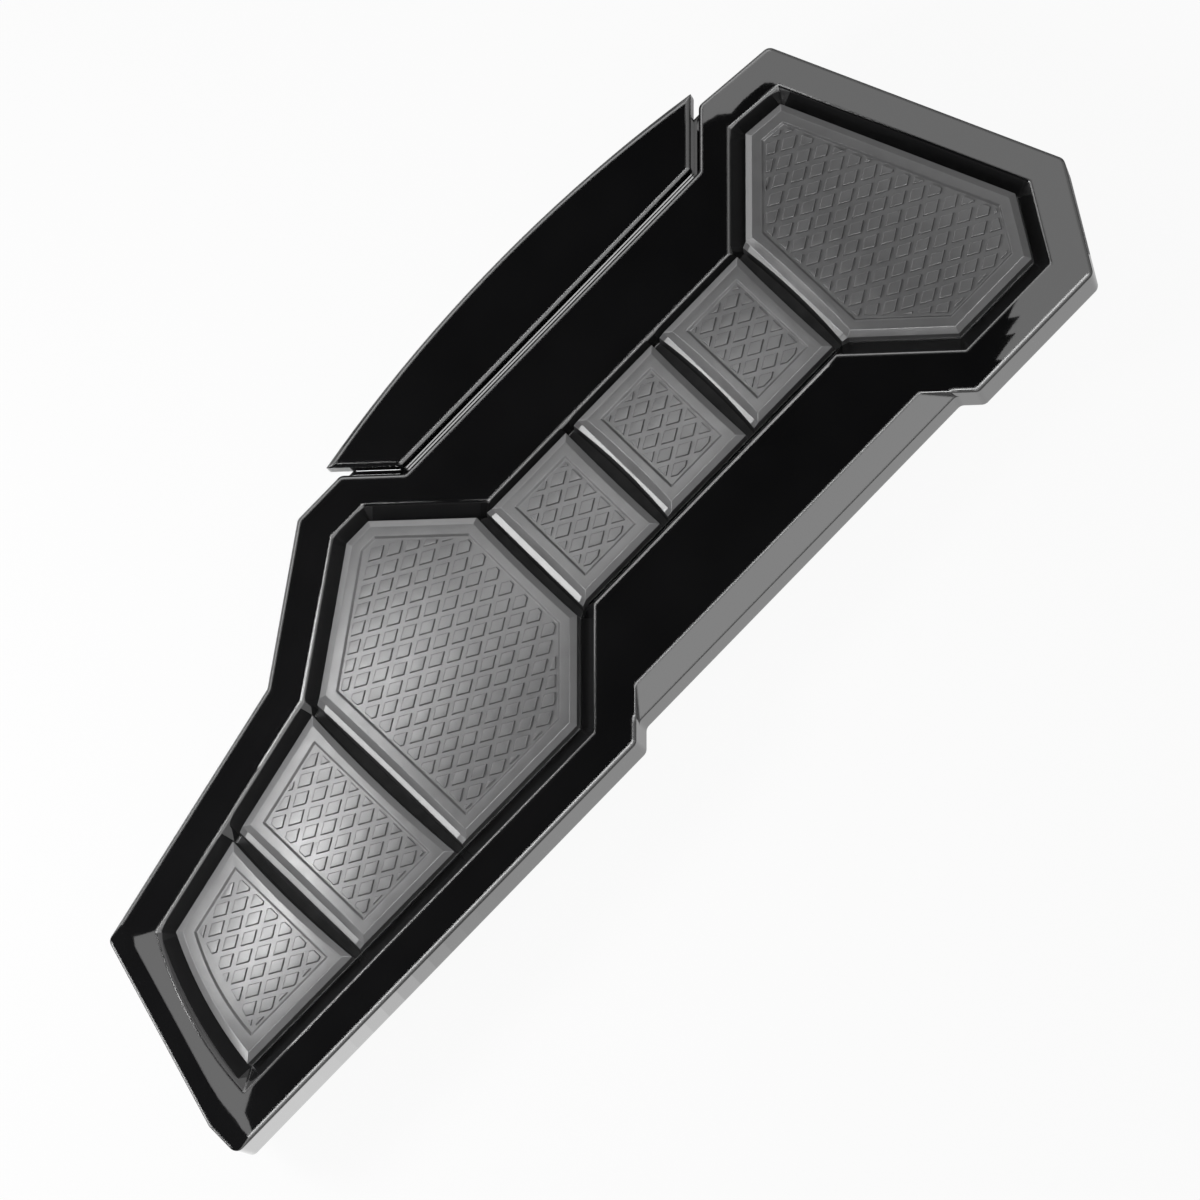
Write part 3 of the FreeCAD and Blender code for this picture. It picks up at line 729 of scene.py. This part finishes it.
def panel(name, corners, material):
    """Flat studio panel that only reflections see."""
    mesh = bpy.data.meshes.new(name)
    mesh.from_pydata([tuple(corner) for corner in corners], [], [tuple(range(len(corners)))])
    mesh.materials.append(material)
    piece = bpy.data.objects.new(name, mesh)
    bpy.context.scene.collection.objects.link(piece)
    piece.visible_camera = False
    piece.visible_diffuse = False
    piece.visible_shadow = False


def mirrored(camera, x, y, height):
    """Point at a height above the board that the camera sees mirrored in the board's top at a place."""
    place = on_board(x, y)
    to_camera = camera.matrix_world.translation - place
    bounce = Vector((-to_camera.x, -to_camera.y, to_camera.z))
    return place + bounce * (height / bounce.z)


# Flags are given by where their reflections lie on the board's top, in millimetres
FLAG_HEIGHT = 0.55
FLAG_CORNERS = [
    (-110.0, 122.0), (-205.0, 60.0), (-187.0, 8.5), (-172.0, 0.0), (-185.0, -52.0), (-200.0, -60.0),
    (-203.0, -68.0), (-250.0, -160.0), (138.0, -160.0), (141.0, -70.0), (149.0, -67.0), (147.0, -65.0),
    (158.0, -63.5), (155.5, -61.5), (163.0, -60.0), (160.0, -58.0), (165.0, -56.0), (167.0, -52.0),
    (165.0, 0.0), (164.0, 55.0), (162.0, 57.3), (155.0, 58.6), (147.0, 58.4), (144.0, 61.5),
    (137.0, 63.0), (136.0, 67.0), (150.0, 72.0), (160.0, 95.0),
]
HEEL_FLAG_CORNERS = [
    (-183.0, 140.0), (-460.0, 140.0), (-460.0, -640.0), (-240.0, -640.0), (-204.0, -76.0), (-204.5, -64.0),
    (-203.0, -51.0), (-201.0, -40.0), (-199.0, -26.0), (-195.5, -11.0), (-192.0, 1.3), (-186.9, 6.9),
    (-183.0, 12.0),
]

# Ceiling over the board, in metres
CEILING_HEIGHT = 0.9
CEILING_HALF = 1.1
CEILING_STRENGTH = 1.7

# Sheets on the floor beside the inboard skirt, which fade from the heel, in millimetres on the board
SHEET_START = -230.0
SHEET_END = 220.0
SHEET_COUNT = 60
SHEET_FADE_X = -140.0
SHEET_FADE_RUN = 22.0
HEEL_SHEET_STRENGTH = 1.1
TOE_SHEET_STRENGTH = 0.45
SHEET_INNER_Y = -55.0
SHEET_OUTER_Y = -130.0

# Cards: direction from the board, distance, width and height in metres, and strength, with 0 for dark
CARDS = {
    "facet_card": ((0.0, -0.893, 0.446), 0.8, 1.4, 0.36, 2.7),
    "inboard_card": ((0.0, -0.342, 0.94), 0.8, 0.7, 0.22, 14.0),
    "lip_card": ((-0.79, 0.25, 0.56), 0.7, 0.24, 0.2, 14.0),
    "heel_curtain": ((-0.74, 0.35, 0.57), 0.85, 2.6, 0.7, 0.0),
    "outboard_card": ((0.0, 0.8, 0.6), 0.8, 1.4, 0.45, 4.0),
}

# Key lamp: its place and target on the board in millimetres, its size in metres and its power in watts
KEY_PLACE = (-330.0, 190.0, 300.0)
KEY_TARGET = (-60.0, 0.0)
KEY_SIZE = 0.14
KEY_WATTS = 1.4

# Glows: place of the reflection on the board's top in millimetres, height, length and width in metres, watts
GLOWS = {
    "heel_glow": (-144.0, -20.0, 0.25, 0.075, 0.018, 0.13),
    "ball_glow": (-80.0, 9.0, 0.5, 0.09, 0.032, 0.24),
    "waist_glow": (40.0, -7.0, 0.5, 0.18, 0.03, 0.16),
}


def add_flags(camera):
    """Dark flags that the camera sees mirrored in the board's top."""
    black = emission("flag_black", 0.0)
    for name, corners in (("flag", FLAG_CORNERS), ("heel_flag", HEEL_FLAG_CORNERS)):
        panel(name, [mirrored(camera, x, y, FLAG_HEIGHT) for x, y in corners], black)


def add_ceiling(camera):
    """Bright ceiling above the flags."""
    centre = mirrored(camera, 0.0, 0.0, CEILING_HEIGHT)
    corners = [centre + Vector((x * CEILING_HALF, y * CEILING_HALF, 0.0)) for x, y in QUAD_CORNERS]
    panel("ceiling", corners, emission("ceiling_white", CEILING_STRENGTH))


def add_sheets():
    """Bright sheets at the floor's height, in strips that fade along the board."""
    run = (SHEET_END - SHEET_START) / SHEET_COUNT
    for number in range(SHEET_COUNT):
        start = SHEET_START + number * run
        end = start + run
        faded = 0.5 + 0.5 * math.tanh((start + run / 2.0 - SHEET_FADE_X) / SHEET_FADE_RUN)
        strength = HEEL_SHEET_STRENGTH + (TOE_SHEET_STRENGTH - HEEL_SHEET_STRENGTH) * faded
        corners = [on_board(start, SHEET_OUTER_Y), on_board(end, SHEET_OUTER_Y),
                   on_board(end, SHEET_INNER_Y), on_board(start, SHEET_INNER_Y)]
        for corner in corners:
            corner.z = cad_low.z
        panel(f"sheet_{number}", corners, emission(f"sheet_white_{number}", strength))


def add_card(name, direction, distance, width, height, strength):
    """Card that faces the board from a direction, with its width level."""
    facing = Vector(direction).normalized()
    along = Vector((0.0, 0.0, 1.0)).cross(facing).normalized()
    across = facing.cross(along)
    place = on_board(0.0, 0.0) + facing * distance
    corners = [place + along * (x * width / 2.0) + across * (y * height / 2.0) for x, y in QUAD_CORNERS]
    panel(name, corners, emission(name, strength))


def area_lamp(name, place, target, size_x, size_y, watts):
    """Rectangular lamp that shines from a place towards a target."""
    data = bpy.data.lights.new(name, "AREA")
    data.shape = "RECTANGLE"
    data.size = size_x
    data.size_y = size_y
    data.energy = watts
    lamp = bpy.data.objects.new(name, data)
    bpy.context.scene.collection.objects.link(lamp)
    lamp.location = place
    lamp.rotation_euler = (target - place).to_track_quat("-Z", "Y").to_euler()
    return lamp


def add_lamps(camera):
    """Key lamp that reflections don't show, and glows that light only the gloss."""
    key = area_lamp("key", on_board(*KEY_PLACE), on_board(*KEY_TARGET), KEY_SIZE, KEY_SIZE, KEY_WATTS)
    key.visible_glossy = False
    for name, (x, y, height, length, width, watts) in GLOWS.items():
        glow = area_lamp(name, mirrored(camera, x, y, height), on_board(x, y), length, width, watts)
        glow.visible_diffuse = False


def add_studio(camera):
    """Everything that lights the board or that its gloss mirrors, apart from the floor and the world."""
    add_flags(camera)
    add_ceiling(camera)
    add_sheets()
    for name, card in CARDS.items():
        add_card(name, *card)
    add_lamps(camera)


# Floor
FLOOR_HALF = 3.0
FLOOR_GAP = 0.2 * MM
FLOOR_GLOW = 0.94
FLOOR_COLOUR = (0.8, 0.8, 0.8, 1.0)
FLOOR_ROUGHNESS = 0.9


def add_floor():
    """Pale floor under the object, which keeps a faint shadow and reads as white to the camera."""
    material, tree, shader = new_material("floor")
    shader.inputs["Base Color"].default_value = FLOOR_COLOUR
    shader.inputs["Roughness"].default_value = FLOOR_ROUGHNESS
    glow = tree.nodes.new("ShaderNodeEmission")
    rays = tree.nodes.new("ShaderNodeLightPath")
    share = tree.nodes.new("ShaderNodeMath")
    share.operation = "MULTIPLY"
    share.inputs[1].default_value = FLOOR_GLOW
    mix = tree.nodes.new("ShaderNodeMixShader")
    tree.links.new(rays.outputs["Is Camera Ray"], share.inputs[0])
    tree.links.new(share.outputs["Value"], mix.inputs["Fac"])
    tree.links.new(shader.outputs["BSDF"], mix.inputs[1])
    tree.links.new(glow.outputs["Emission"], mix.inputs[2])
    tree.links.new(mix.outputs["Shader"], tree.nodes["Material Output"].inputs["Surface"])
    z = cad_low.z - FLOOR_GAP
    mesh = bpy.data.meshes.new("floor")
    mesh.from_pydata([(x * FLOOR_HALF, y * FLOOR_HALF, z) for x, y in QUAD_CORNERS], [], [(0, 1, 2, 3)])
    mesh.materials.append(material)
    floor = bpy.data.objects.new("floor", mesh)
    bpy.context.scene.collection.objects.link(floor)


# World
WORLD_LIGHT = 0.215


def add_world():
    """White to the camera and in reflections, and a plain soft light on the object."""
    world = bpy.data.worlds.new("studio")
    bpy.context.scene.world = world
    world.use_nodes = True
    tree = world.node_tree
    background = tree.nodes["Background"]
    background.inputs["Color"].default_value = WHITE
    rays = tree.nodes.new("ShaderNodeLightPath")
    seen = tree.nodes.new("ShaderNodeMath")
    seen.operation = "MAXIMUM"
    tree.links.new(rays.outputs["Is Camera Ray"], seen.inputs[0])
    tree.links.new(rays.outputs["Is Glossy Ray"], seen.inputs[1])
    strength = tree.nodes.new("ShaderNodeMapRange")
    strength.inputs["To Min"].default_value = WORLD_LIGHT
    strength.inputs["To Max"].default_value = 1.0
    tree.links.new(seen.outputs["Value"], strength.inputs["Value"])
    tree.links.new(strength.outputs["Result"], background.inputs["Strength"])


paint = gloss_paint()
rubber = tread_rubber()
steel = plated_steel()
satin = satin_paint()
dress("board_casting", paint)
dress("outboard_rail", paint)
# The channels' bottoms get rubber painted dark as painted shade
add_tread(rubber, painted_shade_rubber())
dress("front_clevis", satin, CLEVIS_ROUNDING)
dress("rear_clevis", satin, CLEVIS_ROUNDING)
dress("clevis_screws", steel, SCREW_ROUNDING)
dress("rail_screws", steel, SCREW_ROUNDING)

camera = add_camera()
add_studio(camera)
add_floor()
add_world()
bpy.context.scene.view_settings.view_transform = "Standard"

bpy.context.view_layer.update()
